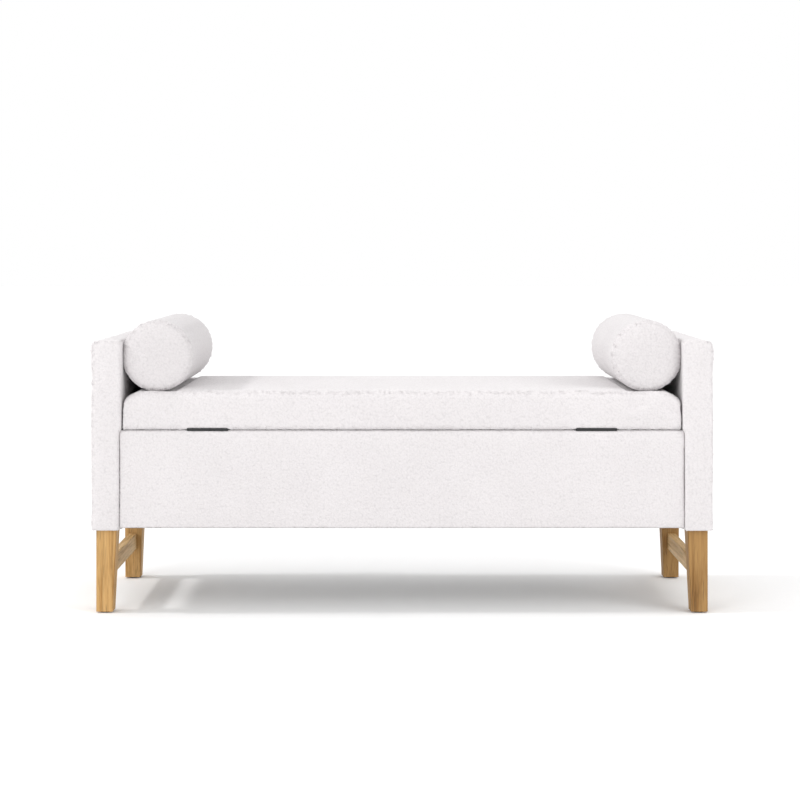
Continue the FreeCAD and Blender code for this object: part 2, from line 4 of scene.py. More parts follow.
import bpy
import numpy as np
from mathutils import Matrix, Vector


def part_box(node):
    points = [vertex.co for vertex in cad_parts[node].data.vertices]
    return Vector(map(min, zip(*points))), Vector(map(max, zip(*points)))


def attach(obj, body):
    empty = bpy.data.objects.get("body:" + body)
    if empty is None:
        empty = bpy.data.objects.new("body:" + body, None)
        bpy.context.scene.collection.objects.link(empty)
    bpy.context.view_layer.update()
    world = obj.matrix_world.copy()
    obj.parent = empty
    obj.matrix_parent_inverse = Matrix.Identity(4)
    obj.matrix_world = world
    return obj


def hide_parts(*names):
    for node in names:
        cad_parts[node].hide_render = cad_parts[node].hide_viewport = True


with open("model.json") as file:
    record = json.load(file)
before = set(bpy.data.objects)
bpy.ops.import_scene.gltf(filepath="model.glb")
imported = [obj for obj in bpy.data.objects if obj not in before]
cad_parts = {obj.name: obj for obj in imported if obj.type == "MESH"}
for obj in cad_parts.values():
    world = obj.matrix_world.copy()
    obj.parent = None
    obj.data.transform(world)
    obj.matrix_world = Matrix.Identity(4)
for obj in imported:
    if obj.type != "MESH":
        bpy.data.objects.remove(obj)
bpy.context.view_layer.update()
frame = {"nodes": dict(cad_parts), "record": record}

SIDES = {"left": -1, "right": 1}
MM = 0.001
CLOTH_FRAMES = 20  # how long the covers are blown out for
CURL = 5.0 * MM    # width of one curl of the cloth


# ---------------------------------------------------------------- mesh helpers

def node_box(name):
    low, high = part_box(name)
    return np.array(low), np.array(high)


def lattice(low, high, step):
    """Points and quads of a box's surface, cut into squares of about step."""
    counts = np.maximum(1, np.round((high - low) / step).astype(int))
    nx, ny, nz = counts
    ids = np.full(counts + 1, -1)
    shell = np.zeros(counts + 1, bool)
    shell[[0, -1]] = shell[:, [0, -1]] = shell[:, :, [0, -1]] = True
    ids[shell] = np.arange(shell.sum())
    where = np.argwhere(shell)
    points = low + where / counts * (high - low)
    quads = []
    for axis in range(3):
        for end, flip in ((0, True), (-1, False)):
            grid = np.take(ids, end, axis=axis)
            a, b, c, d = grid[:-1, :-1], grid[1:, :-1], grid[1:, 1:], grid[:-1, 1:]
            if flip != (axis == 1):
                a, b, c, d = d, c, b, a
            quads.append(np.stack([a, b, c, d], -1).reshape(-1, 4))
    return points, np.concatenate(quads)


def soften(points, low, high, low_round, high_round):
    """Round a box's edges by a reach per axis, given for all points or for each."""
    inner_low, inner_high = low + low_round, high - high_round
    core = np.clip(points, inner_low, inner_high)
    reach = np.where(points < core, low_round, high_round) * np.ones_like(points)
    out = (points - core) / reach
    length = np.linalg.norm(out, axis=1, keepdims=True)
    return core + out / np.maximum(length, 1e-9) * reach


def smooth(x, low, high):
    """0 below low, 1 above high, and a smooth step between them."""
    t = np.clip((x - low) / (high - low), 0, 1)
    return t * t * (3 - 2 * t)


def noise(points, cell, seed):
    """Smooth value noise from -1 to 1, over cells of that size in metres."""
    table = np.random.default_rng(seed).uniform(-1, 1, 8192)
    grid = np.asarray(points) / cell
    base = np.floor(grid).astype(np.int64)
    part = grid - base
    part = part * part * (3 - 2 * part)
    total = np.zeros(len(grid))
    for corner in np.ndindex(2, 2, 2):
        place = base + corner
        key = (place[:, 0] * 73856093 ^ place[:, 1] * 19349663 ^ place[:, 2] * 83492791) % 8192
        weight = np.prod(np.where(corner, part, 1 - part), axis=1)
        total += weight * table[key]
    return total


def knobs(points, cell, seed):
    """Rounded knobs about a cell wide: near 1 at the top of one, 0 in a crease between them."""
    table = np.random.default_rng(seed).random((8192, 3))
    grid = np.asarray(points) / cell
    base = np.floor(grid).astype(np.int64)
    nearest = np.full(len(grid), 9.0)
    for corner in np.ndindex(3, 3, 3):
        spot = base + corner - 1
        key = (spot[:, 0] * 73856093 ^ spot[:, 1] * 19349663 ^ spot[:, 2] * 83492791) % 8192
        nearest = np.minimum(nearest, ((grid - spot - table[key]) ** 2).sum(1))
    return 1 - np.clip(nearest, 0, 1)


def mesh_object(name, points, faces, material):
    mesh = bpy.data.meshes.new(name)
    if isinstance(faces, np.ndarray):
        faces = faces.tolist()
    mesh.from_pydata(np.asarray(points).tolist(), [], faces)
    mesh.polygons.foreach_set("use_smooth", np.ones(len(mesh.polygons), bool))
    mesh.materials.append(material)
    mesh.update()
    obj = bpy.data.objects.new(name, mesh)
    bpy.context.scene.collection.objects.link(obj)
    return obj


def normals_of(obj):
    mesh = obj.data
    found = np.zeros(len(mesh.vertices) * 3, np.float32)
    mesh.vertex_normals.foreach_get("vector", found)
    return found.reshape(-1, 3).astype(float)


def coordinates(obj):
    found = np.zeros(len(obj.data.vertices) * 3, np.float32)
    obj.data.vertices.foreach_get("co", found)
    return found.reshape(-1, 3).astype(float)


def place(obj, points):
    obj.data.vertices.foreach_set("co", points.astype(np.float32).ravel())
    obj.data.update()


def finer(obj):
    """Split every face once, with smooth subdivision."""
    split = obj.modifiers.new("finer", "SUBSURF")
    split.levels = split.render_levels = 1
    depsgraph = bpy.context.evaluated_depsgraph_get()
    mesh = bpy.data.meshes.new_from_object(obj.evaluated_get(depsgraph))
    obj.modifiers.clear()
    coarse, obj.data = obj.data, mesh
    bpy.data.meshes.remove(coarse)


def inflate(pads):
    """Blow the covers out together by cloth simulation, holding each point within its reach."""
    scene = bpy.context.scene
    for obj, pressure, _ in pads:
        cloth = obj.modifiers.new("cloth", "CLOTH")
        cloth.point_cache.frame_end = CLOTH_FRAMES
        cloth.settings.use_pressure = True
        cloth.settings.uniform_pressure_force = pressure
        cloth.settings.effector_weights.gravity = 0
    for step in range(1, CLOTH_FRAMES + 1):
        scene.frame_set(step)
    depsgraph = bpy.context.evaluated_depsgraph_get()
    blown = [coordinates(obj.evaluated_get(depsgraph)) for obj, _, _ in pads]
    for (obj, _, reach), moved in zip(pads, blown):
        obj.modifiers.clear()
        start = coordinates(obj)
        step = moved - start
        length = np.linalg.norm(step, axis=1) + 1e-9
        place(obj, start + step * (reach * np.tanh(length / reach) / length)[:, None])
    scene.frame_set(1)


def nap(obj, seed, where=None):
    """Stand the cloth's curls up from a finished form, along its normals."""
    points = coordinates(obj)
    mean_knob = 0.62
    rise = 1.15 * MM * (knobs(points, CURL, seed) - mean_knob)
    rise += 0.25 * MM * noise(points, 60 * MM, seed + 2)
    if where is not None:
        rise *= where(points)
    place(obj, points + normals_of(obj) * rise[:, None])


# ---------------------------------------------------------------- materials

class Nodes:
    """A material's node tree, with short calls to add and join nodes."""

    def __init__(self, name):
        self.material = bpy.data.materials.new(name)
        self.material.use_nodes = True
        self.tree = self.material.node_tree
        self.shader = self.tree.nodes["Principled BSDF"]
        self.coords = self.tree.nodes.new("ShaderNodeTexCoord").outputs["Object"]

    def add(self, kind, inputs=None, **props):
        made = self.tree.nodes.new("ShaderNode" + kind)
        for name, value in props.items():
            setattr(made, name, value)
        for name, value in (inputs or {}).items():
            if isinstance(value, bpy.types.NodeSocket):
                self.tree.links.new(value, made.inputs[name])
            else:
                made.inputs[name].default_value = value
        return made

    def stretched(self, scale):
        return self.add("Mapping", {"Vector": self.coords, "Scale": scale}).outputs[0]

    def ramp(self, fac, *stops):
        made = self.add("ValToRGB", {"Fac": fac})
        elements = made.color_ramp.elements
        while len(elements) < len(stops):
            elements.new(0.5)
        for element, (at, colour) in zip(elements, stops):
            element.position = at
            element.color = (*colour, 1) if len(colour) == 3 else colour
        return made.outputs["Color"]

    def grey(self, fac, *stops):
        return self.ramp(fac, *[(at, (level,) * 3) for at, level in stops])

    def maths(self, operation, a, b):
        return self.add("Math", {0: a, 1: b}, operation=operation).outputs[0]

    def mix(self, fac, a, b, blend="MIX"):
        made = self.add("Mix", data_type="RGBA", blend_type=blend)
        for socket, value in zip((made.inputs[0], made.inputs[6], made.inputs[7]), (fac, a, b)):
            if isinstance(value, bpy.types.NodeSocket):
                self.tree.links.new(value, socket)
            else:
                socket.default_value = value if isinstance(value, float) else (*value, 1)
        return made.outputs[2]

    def bump(self, height, distance, strength=1.0, below=None):
        inputs = {"Height": height, "Distance": distance, "Strength": strength}
        if below is not None:
            inputs["Normal"] = below
        return self.add("Bump", inputs).outputs[0]

    def finish(self, **inputs):
        for name, value in inputs.items():
            socket = self.shader.inputs[name.replace("_", " ")]
            if isinstance(value, bpy.types.NodeSocket):
                self.tree.links.new(value, socket)
            else:
                socket.default_value = value
        return self.material


def boucle(name, level):
    """Looped wool-like cloth of one lightness: coiled curls and fine fibres, with painted shade
    darkening the creases between the curls.
    """
    n = Nodes(name)

    def bent(scale, amount):
        warp = n.add("TexNoise", {"Vector": n.coords, "Scale": scale, "Detail": 2.0}).outputs["Color"]
        warp = n.add("VectorMath", {0: warp, 1: (amount,) * 3}, operation="MULTIPLY").outputs[0]
        return n.add("VectorMath", {0: n.coords, 1: warp}, operation="ADD").outputs[0]

    curled = bent(240.0, 0.0042)
    curls = n.add("TexVoronoi", {"Vector": curled, "Scale": 235.0}).outputs["Distance"]
    small = n.add("TexVoronoi", {"Vector": bent(500.0, 0.0016), "Scale": 520.0}).outputs["Distance"]
    coils = n.maths("ABSOLUTE", n.maths("SINE", n.maths("MULTIPLY", curls, 15.0), 0.0), 0.0)
    fibres = n.add("TexNoise", {"Vector": curled, "Scale": 1900.0, "Detail": 3.0}).outputs["Fac"]
    drift = n.add("TexNoise", {"Vector": n.coords, "Scale": 9.0, "Detail": 2.0}).outputs["Fac"]
    tone = n.ramp(drift, (0.3, (level - 0.012, level - 0.040, level - 0.034)),
                  (0.7, (level + 0.008, level - 0.020, level - 0.014)))
    # painted shade: the cloth's colour is darkened in the creases between the large curls here, and
    # between the small ones two lines below
    crease_shade = n.grey(curls, (0.30, 1.0), (0.60, 0.965), (0.95, 0.89))
    tone = n.mix(1.0, tone, crease_shade, "MULTIPLY")
    tone = n.mix(1.0, tone, n.grey(small, (0.3, 1.0), (0.9, 0.965)), "MULTIPLY")
    domes = n.maths("MULTIPLY", curls, -1.0)
    height = n.maths("ADD", domes, n.maths("MULTIPLY", coils, 0.16))
    height = n.maths("ADD", height, n.maths("MULTIPLY", small, -0.30))
    height = n.maths("ADD", height, n.maths("MULTIPLY", fibres, 0.18))
    rough = n.grey(fibres, (0.3, 0.86), (0.7, 0.98))
    return n.finish(Base_Color=tone, Roughness=rough, Sheen_Weight=0.3, Sheen_Roughness=0.5,
                    Specular_IOR_Level=0.15, Normal=n.bump(height, 0.0014, 0.60))


def yarn(name, colour):
    """The loose wool yarn of the loops: soft, slightly uneven, with fine fibres."""
    n = Nodes(name)
    fibres = n.add("TexNoise", {"Vector": n.coords, "Scale": 2600.0, "Detail": 3.0}).outputs["Fac"]
    drift = n.add("TexNoise", {"Vector": n.coords, "Scale": 180.0, "Detail": 2.0}).outputs["Fac"]
    tone = n.ramp(drift, (0.3, [c * 0.95 for c in colour]), (0.7, colour))
    return n.finish(Base_Color=tone, Roughness=n.grey(fibres, (0.3, 0.88), (0.7, 0.98)),
                    Sheen_Weight=0.3, Sheen_Roughness=0.5, Specular_IOR_Level=0.1,
                    Normal=n.bump(fibres, 0.0002, 0.5))


def timber(name, along, dark, light, ring=0.011, roughness=(0.50, 0.66), gloss=0.5):
    """Wood with growth rings, pores and slow colour drift, its grain running along one axis."""
    n = Nodes(name)
    squeeze = [1.0, 1.0, 1.0]
    squeeze["XYZ".index(along)] = 0.07
    grain = n.stretched(squeeze)
    drift = n.add("TexNoise", {"Vector": grain, "Scale": 16.0, "Detail": 3.0, "Distortion": 0.6})
    rings = n.add("TexNoise", {"Vector": grain, "Scale": 0.55 / ring, "Detail": 4.0,
                               "Roughness": 0.62, "Distortion": 1.1})
    squeeze["XYZ".index(along)] = 0.02
    pores = n.add("TexNoise", {"Vector": n.stretched(squeeze), "Scale": 900.0, "Detail": 2.0})
    streaks = n.add("TexNoise", {"Vector": n.stretched(squeeze), "Scale": 210.0, "Detail": 3.0})
    between = [(a + 2 * b) / 3 for a, b in zip(dark, light)]
    tone = n.ramp(rings.outputs["Fac"], (0.32, dark), (0.50, between), (0.66, light))
    tone = n.mix(1.0, tone, n.grey(drift.outputs["Fac"], (0.3, 0.86), (0.7, 1.0)), "MULTIPLY")
    tone = n.mix(1.0, tone, n.grey(streaks.outputs["Fac"], (0.35, 0.86), (0.56, 1.0)), "MULTIPLY")
    dark_pores = n.grey(pores.outputs["Fac"], (0.33, 0.55), (0.43, 1.0))
    tone = n.mix(1.0, tone, dark_pores, "MULTIPLY")
    rough = n.grey(rings.outputs["Fac"], (0.3, roughness[1]), (0.7, roughness[0]))
    first = n.bump(n.maths("ADD", rings.outputs["Fac"], streaks.outputs["Fac"]), 0.0004, 0.35)
    return n.finish(Base_Color=tone, Roughness=rough, Specular_IOR_Level=gloss,
                    Normal=n.bump(dark_pores, 0.00025, 0.5, first))


def plywood(name, dark, light):
    """Rotary-cut veneer with wide wavy figure and a dry, open surface."""
    return timber(name, "X", dark, light, ring=0.035, roughness=(0.66, 0.82))


def metal(name, colour, rough_low, rough_high):
    """Plated or brushed metal with fine scratches, stains and duller patches."""
    n = Nodes(name)
    lines = n.add("TexNoise", {"Vector": n.stretched((1.0, 0.05, 1.0)), "Scale": 2400.0, "Detail": 2.0})
    patches = n.add("TexNoise", {"Vector": n.coords, "Scale": 90.0, "Detail": 4.0})
    tone = n.ramp(patches.outputs["Fac"], (0.3, [c * 0.86 for c in colour]), (0.7, colour))
    rough = n.grey(patches.outputs["Fac"], (0.3, rough_high), (0.7, rough_low))
    return n.finish(Base_Color=tone, Metallic=1.0, Roughness=rough,
                    Normal=n.bump(lines.outputs["Fac"], 0.00005, 0.35))


def moulded(name, colour, rough, speckle=1400.0, depth=0.00012):
    """Rubber or plastic with a fine matt grain and faint dusting."""
    n = Nodes(name)
    skin = n.add("TexNoise", {"Vector": n.coords, "Scale": speckle, "Detail": 2.0})
    dust = n.add("TexNoise", {"Vector": n.coords, "Scale": 60.0, "Detail": 5.0})
    tone = n.ramp(dust.outputs["Fac"], (0.35, colour), (0.75, [c * 1.5 + 0.006 for c in colour]))
    level = n.grey(dust.outputs["Fac"], (0.3, rough), (0.75, min(1.0, rough + 0.12)))
    return n.finish(Base_Color=tone, Roughness=level,
                    Normal=n.bump(skin.outputs["Fac"], depth, 0.5))


def felt(name, colour):
    """Spun-bonded cloth: pressed fibres with a grid of small bonded dimples."""
    n = Nodes(name)
    dots = n.add("TexVoronoi", {"Vector": n.coords, "Scale": 420.0, "Randomness": 0.25})
    fibres = n.add("TexNoise", {"Vector": n.coords, "Scale": 1600.0, "Detail": 4.0})
    tone = n.ramp(fibres.outputs["Fac"], (0.3, [c * 0.85 for c in colour]),
                  (0.7, [c * 1.15 for c in colour]))
    height = n.maths("ADD", dots.outputs["Distance"], n.maths("MULTIPLY", fibres.outputs["Fac"], 0.5))
    return n.finish(Base_Color=tone, Roughness=0.95, Sheen_Weight=0.1,
                    Normal=n.bump(height, 0.0003, 0.5))


BOUCLE = boucle("boucle", 0.695)
# the bolsters are the same bouclé as the seat, painted darker as painted shade on the rolls
BOUCLE_BOLSTER_PAINTED_SHADE = boucle("boucle_bolster_painted_shade", 0.655)
YARN = yarn("boucle_yarn", (0.73, 0.705, 0.71))
OAK_TONES_LIT_AND_SHADED = {
    # oak tones for each place, dark grain and light grain: the left legs have the oak's own tone, the
    # right legs are the same oak darkened as painted shade, and the stretchers are the same oak
    # lightened as painted light against the shade under the box
    "left": ((0.34, 0.165, 0.040), (0.63, 0.385, 0.150)),
    "right": ((0.225, 0.103, 0.024), (0.44, 0.253, 0.089)),
    "stretcher": ((0.47, 0.265, 0.088), (0.78, 0.530, 0.255)),
}
# one oak material for each place; the right-leg copy carries painted shade and the stretcher copy
# carries painted light
OAK = {board: timber("oak_" + board, "Y" if board == "stretcher" else "Z", *tones, gloss=0.30)
       for board, tones in OAK_TONES_LIT_AND_SHADED.items()}
PLYWOOD = plywood("plywood", (0.46, 0.32, 0.18), (0.66, 0.50, 0.32))
PINE = timber("pine", "X", (0.52, 0.34, 0.16), (0.74, 0.56, 0.33), ring=0.02, roughness=(0.6, 0.8))
STEEL = metal("zinc_steel", (0.62, 0.63, 0.65), 0.28, 0.46)
BRASS = metal("brass_insert", (0.72, 0.52, 0.22), 0.25, 0.40)
RUBBER = moulded("black_rubber", (0.012, 0.012, 0.013), 0.62)
GLIDE = moulded("glide_plastic", (0.05, 0.05, 0.052), 0.45)
DUST_CLOTH = felt("dust_cloth", (0.25, 0.245, 0.24))

FINISHES = {
    "plywood": PLYWOOD, "pine": PINE, "zinc_steel": STEEL, "brass_insert": BRASS,
    "black_rubber": RUBBER, "glide_plastic": GLIDE, "dust_cloth": DUST_CLOTH,
}
SLOT_OF = {part["node"]: part["material_slot"] for part in frame["record"]["subparts"]}

for name, slot in SLOT_OF.items():
    if slot == "oak":
        finish = OAK["stretcher" if name.startswith("stretcher") else name.rsplit("_", 1)[1]]
    else:
        finish = FINISHES.get(slot)
    if finish is not None:
        mesh = frame["nodes"][name].data
        mesh.materials.clear()
        mesh.materials.append(finish)


# ---------------------------------------------------------------- upholstery

TUCK = 4.6 * MM  # how far the front and rear panels' ends reach into the arms' edges
LEAN, SINK = 3.2 * MM, 3.0 * MM  # how far the bolsters press against the arms and into the seat
BOX_FOOT = 178 * MM              # underside of the box, where the legs start
SEAM_LOW, SEAM_HIGH = 382.4 * MM, 383.4 * MM  # the box's cloth ends below one, the lid's above the other
SEAT_UPPER = 455 * MM            # the seat's top, bolsters included, is all above this
ARM_INSIDE = 586.2 * MM          # nothing of an arm comes nearer to the middle than this
SEAT_END = 584.9 * MM            # and nothing of the seat reaches further out
BOLSTER_END, BOLSTER_FLOOR = 586.3 * MM, 461.8 * MM  # where a bolster meets its arm and the seat
BOLSTER_DENT = 461.4 * MM        # the seat's height under a bolster
PANEL_STEP = 4.4 * MM            # spacing of the points on the arms and panels
PADS = []       # object, pressure and reach of each cover before it is blown out
FINISHING = []  # what is done to each cover afterwards


def beside_box(heights):
    """1 up to just under the seam between box and lid, 0 above it."""
    return 1 - smooth(heights, 0.376, 0.384)


def on_bumpers(away):
    """1 over the two rubber bumpers between box and lid, by distance from the middle."""
    return smooth(away, 0.362, 0.366) * (1 - smooth(away, 0.448, 0.452))


def cover(name, body, nodes, points, quads, pressure, reach, seed, after, where=None,
          material=BOUCLE):
    """Make a padded piece now, and note how it is blown out and finished later."""
    obj = mesh_object(name, points, quads, material)
    PADS.append((obj, pressure, reach))

    def finish():
        finer(obj)
        nap(obj, seed, where)
        place(obj, after(coordinates(obj)))
        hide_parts(*nodes)
        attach(obj, body)

    FINISHING.append(finish)
    return obj


def arm(side):
    """A padded arm: a thin upright box with a full top, close against the seat and front panel."""
    sign = SIDES[side]
    low, high = node_box("arm_cover_" + side)
    points, quads = lattice(low, high, PANEL_STEP)
    upper = smooth(points[:, 2], 0.500, 0.556)[:, None]
    outer = np.array([11, 9, 5]) * MM + upper * np.array([8, 0, 0]) * MM
    inner = np.array([3, 3, 5]) * MM * np.ones_like(points)
    low_round, high_round = (inner, outer) if sign > 0 else (outer, inner)
    high_round = high_round + np.array([0, 0, 8]) * MM
    start = points.copy()
    points = soften(points, low, high, low_round, high_round)
    middle, half = (low + high) / 2, (high - low) / 2
    tucked = smooth(np.abs(start[:, 1]), 0.190, 0.199) * beside_box(start[:, 2])
    tucked *= smooth((middle[0] - start[:, 0]) * sign / half[0], 0.2, 1.0)
    points[:, 0] += sign * TUCK * tucked
    edge = np.minimum(half[0] - np.abs(start[:, 0] - middle[0]), half[1] - np.abs(start[:, 1]))
    rim = (1 - smooth(edge, 0, 9 * MM)) * (1 - smooth(start[:, 2], BOX_FOOT, 0.190))
    points[:, 2] -= 7.0 * MM * rim
    facing = (points[:, 0] - middle[0]) * sign / half[0]
    above = smooth(points[:, 2], 0.470, 0.500)
    reach = 0.3 * MM + 1.6 * MM * smooth(facing, 0.2, 0.9) + 1.5 * MM * above
    reach *= 0.15 + 0.85 * smooth(points[:, 2], 0.180, 0.200)

    def after(points):
        inside = np.where(points[:, 2] > SEAT_UPPER, ARM_INSIDE + 0.5 * MM, ARM_INSIDE)
        inside = inside + TUCK * smooth(np.abs(points[:, 1]), 0.192, 0.200) * beside_box(points[:, 2])
        points[:, 0] = sign * np.maximum(points[:, 0] * sign, inside)
        return points

    return cover("arm_upholstery_" + side, "box", ("arm_cover_" + side, "arm_foam_" + side),
                 points, quads, 4.0, reach, 11 if sign > 0 else 31, after,
                 lambda p: 0.4 + 0.6 * smooth(p[:, 2], 0.176, 0.186))


def resampled(path, count):
    """Count points evenly along a line through the path's points."""
    path = np.array(path, float)
    along = np.concatenate([[0], np.cumsum(np.linalg.norm(np.diff(path, axis=0), axis=1))])
    at = np.linspace(0, along[-1], count)
    return np.stack([np.interp(at, along, path[:, k]) for k in range(2)], -1)


def panel(side):
    """The padding on the front or rear board, wrapped over its top and bottom edges."""
    sign = -1 if side == "front" else 1
    low, high = node_box(side + "_cover")
    board_low, board_high = node_box(side + "_board")
    if sign < 0:
        face, wall, skin = -low[1], -high[1], -board_low[1]
    else:
        face, wall, skin = high[1], low[1], board_high[1]
    top_round, foot_round = 4 * MM, 2.5 * MM
    turn = np.linspace(0, math.pi / 2, 9)
    outside = [(wall, low[2])]
    outside += [(face - foot_round * (1 - math.sin(a)), low[2] + foot_round * (1 - math.cos(a)))
                for a in turn]
    outside += [(face - top_round * (1 - math.cos(a)), high[2] - top_round * (1 - math.sin(a)))
                for a in turn]
    outside += [(wall, high[2])]
    length = 2 * (face - wall) + high[2] - low[2]
    count = int(length / PANEL_STEP)
    outside = resampled(outside, count)
    inside = resampled([(wall, board_low[2]), (skin, board_low[2]), (skin, board_high[2]),
                        (wall, board_high[2])], count)
    section = np.concatenate([outside, inside[::-1]])
    stations = np.linspace(low[0], high[0], int((high[0] - low[0]) / PANEL_STEP))
    size, rows = len(section), len(stations)
    points = np.empty((rows, size, 3))
    points[:, :, 0] = stations[:, None]
    points[:, :, 1] = sign * section[:, 0]
    points[:, :, 2] = section[:, 1]
    points = points.reshape(-1, 3)
    ring = np.arange(size)
    quads = []
    for row in range(rows - 1):
        here, there = row * size + ring, (row + 1) * size + ring
        quads.append(np.stack([here, np.roll(here, -1), np.roll(there, -1), there], -1))
    near = np.arange(count - 1)
    cap = np.stack([near, size - 1 - near, size - 2 - near, near + 1], -1)
    quads += [cap, (cap + (rows - 1) * size)[:, ::-1]]
    quads = np.concatenate(quads)
    if sign < 0:
        quads = quads[:, ::-1]
    out = np.abs(points[:, 1]) - wall
    away = np.abs(points[:, 0])
    front = smooth(out, 0.011, 0.015)
    raised = (1 - 0.5 * on_bumpers(away)) * smooth(points[:, 2], 0.372, 0.381)
    points[:, 2] += 1.4 * MM * raised * smooth(out, 0.002, 0.006)
    ends = smooth(away, 0.572, 0.587) * front
    points[:, 0] += np.sign(points[:, 0]) * (TUCK + 0.6 * MM) * ends
    loose = np.tile(np.arange(size) < count, rows)
    full = front * smooth(points[:, 2], 0.180, 0.210) * (1 - smooth(points[:, 2], 0.360, 0.376))
    reach = np.where(loose, 0.1 * MM + 1.3 * MM * full, 0.02 * MM)

    def after(points):
        out = np.abs(points[:, 1]) - wall
        widest = 587.0 * MM + (TUCK - 0.9 * MM) * smooth(out, 0.011, 0.015)
        points[:, 0] = np.sign(points[:, 0]) * np.minimum(np.abs(points[:, 0]), widest)
        return points

    def where(p):
        return smooth(np.abs(p[:, 1]) - wall, 0.000, 0.003) * 0.9 + 0.1 * (p[:, 2] > 0.3805)

    return cover(side + "_upholstery", "box", (side + "_cover", side + "_foam"), points, quads,
                 3.0, reach, 51 if sign < 0 else 71, after, where)


def seat():
    """The lid's padding: a crowned slab with dropped ends, hemmed round a recess underneath."""
    low, high = node_box("lid_cover")
    points, quads = lattice(low, high, 5.0 * MM)
    start = points.copy()
    upper = smooth(points[:, 2], 0.42, 0.45)[:, None] * np.array([3, 8, 0]) * MM
    low_round = np.array([3, 4, 3]) * MM + upper
    high_round = np.array([3, 5, 16]) * MM + upper
    points = soften(points, low, high, low_round, high_round)
    height = (points[:, 2] - low[2]) / (high[2] - low[2])
    reach, drop = 56 * MM, 27 * MM
    flat_end = high[0] - reach
    turn = np.clip((np.abs(points[:, 0]) - flat_end) / reach, 0, 1) * math.pi / 2
    away = np.abs(points[:, 0])
    bent = np.where(away > flat_end, flat_end + reach * np.sin(turn), away)
    top = high[2] - drop * (1 - np.cos(turn))
    crown = (1 - (bent / high[0]) ** 8) * (1 - np.abs(points[:, 1] / high[1]) ** 4)
    top += 2.2 * MM * crown
    puffed = bent + 2.2 * MM * smooth(bent, 0.570, 0.582) * smooth(height, 0.0, 0.1)
    points[:, 0] = np.sign(points[:, 0]) * puffed
    points[:, 2] = low[2] + height * (top - low[2])
    lip = 35 * MM
    recess = np.minimum(high[0] - lip - np.abs(start[:, 0]), high[1] - lip - np.abs(start[:, 1]))
    under = height < 0.01
    points[under, 2] += 3.2 * MM * smooth(recess[under], 0, 10 * MM)
    hung = 1 - 0.7 * on_bumpers(bent)
    hung *= smooth(np.abs(start[:, 1]), 0.180, 0.190) * (1 - smooth(height, 0.0, 0.12))
    points[:, 2] -= 3.4 * MM * hung
    reach = np.where(under, 0.1 * MM, 0.5 * MM + 2.5 * MM * smooth(height, 0.1, 0.9))

    def after(points):
        away, across = np.abs(points[:, 0]), np.abs(points[:, 1])
        points[:, 0] = np.sign(points[:, 0]) * np.minimum(away, SEAT_END)
        pressed = smooth(away, 0.462, 0.480) * (1 - smooth(away, 0.540, 0.556))
        pressed *= 1 - smooth(across, 0.185, 0.200)
        above = points[:, 2] - BOLSTER_DENT
        points[:, 2] -= np.where(points[:, 2] > SEAT_UPPER, np.maximum(above, 0) * pressed, 0)
        return points

    def where(p):
        return np.where((p[:, 2] > low[2] + 2 * MM) | (np.abs(p[:, 1]) > 0.190), 1.0, 0.2)

    return cover("seat_upholstery", "lid", ("lid_cover", "lid_foam"), points, quads, 4.0, reach,
                 91, after, where)


def bolster(side):
    """A stuffed roll with full ends sewn on, pressed flat where it meets the seat and the arm."""
    sign = SIDES[side]
    low, high = node_box("bolster_cover_" + side)
    centre, half = (low + high) / 2, (high[1] - low[1]) / 2
    centre += np.array([sign * LEAN, 0, -SINK])
    radius, dome, step = (high[2] - low[2]) / 2 - 0.2 * MM, 19 * MM, 4.2 * MM
    around = int(2 * math.pi * radius / step)
    arc = np.linspace(0, math.pi / 2, 40)
    bulge = np.stack([radius * np.sin(arc) ** 0.66, half - dome + dome * np.cos(arc) ** 0.9], -1)
    bulge = resampled(bulge, int((radius + dome * 0.7) / step))[1:]
    spans = np.linspace(half - dome, -(half - dome), int(2 * (half - dome) / step))[1:-1]
    rings = np.array([tuple(r) for r in bulge] + [(radius, y) for y in spans]
                     + [(r, -y) for r, y in bulge[::-1]])
    turn = np.arange(around) / around * 2 * math.pi
    body = np.empty((len(rings), around, 3))
    body[:, :, 0] = rings[:, :1] * np.cos(turn)
    body[:, :, 1] = rings[:, 1:]
    body[:, :, 2] = rings[:, :1] * np.sin(turn)
    points = np.concatenate([[[0, half, 0]], body.reshape(-1, 3), [[0, -half, 0]]]) + centre * (1, 0, 1)
    ring = np.arange(around)
    faces = [[0, 1 + (i + 1) % around, 1 + i] for i in ring]
    for j in range(len(rings) - 1):
        here, there = 1 + j * around + ring, 1 + (j + 1) * around + ring
        faces += np.stack([here, np.roll(here, -1), np.roll(there, -1), there], -1).tolist()
    last, outer = len(points) - 1, 1 + (len(rings) - 1) * around
    faces += [[last, outer + i, outer + (i + 1) % around] for i in ring]
    reach = np.full(len(points), 1.3 * MM)

    def after(points):
        local = points - centre * (1, 0, 1)
        away = np.hypot(local[:, 0], local[:, 2])
        angle = np.arctan2(local[:, 2], local[:, 0])
        from_seam = np.abs(np.abs(local[:, 1]) - (half - dome + 7 * MM))
        groove = 1.6 * MM * np.exp(-(from_seam / (2.6 * MM)) ** 2) * (away > radius * 0.5)
        pucker = np.sin(angle * 34 + 2.0 * np.sin(angle * 5 + sign)) + 0.6 * np.sin(angle * 21 + 1.3)
        groove -= 0.55 * MM * pucker * np.exp(-(from_seam / (16 * MM)) ** 2) * (away > radius * 0.6)
        local[:, [0, 2]] *= ((away - groove) / np.maximum(away, 1e-6))[:, None]
        points = local + centre * (1, 0, 1)
        above = points[:, 2] - BOLSTER_FLOOR
        points[:, 2] = BOLSTER_FLOOR + np.maximum(np.maximum(above, 0.1 * above), -0.1 * MM)
        points[:, 0] = sign * np.minimum(points[:, 0] * sign, BOLSTER_END)
        return points

    # the roll is covered in the darker copy of the bouclé, which is painted shade
    return cover("bolster_upholstery_" + side, "bolster_" + side,
                 ("bolster_cover_" + side, "bolster_core_" + side), points, faces, 4.0, reach,
                 111 if sign > 0 else 131, after, material=BOUCLE_BOLSTER_PAINTED_SHADE)


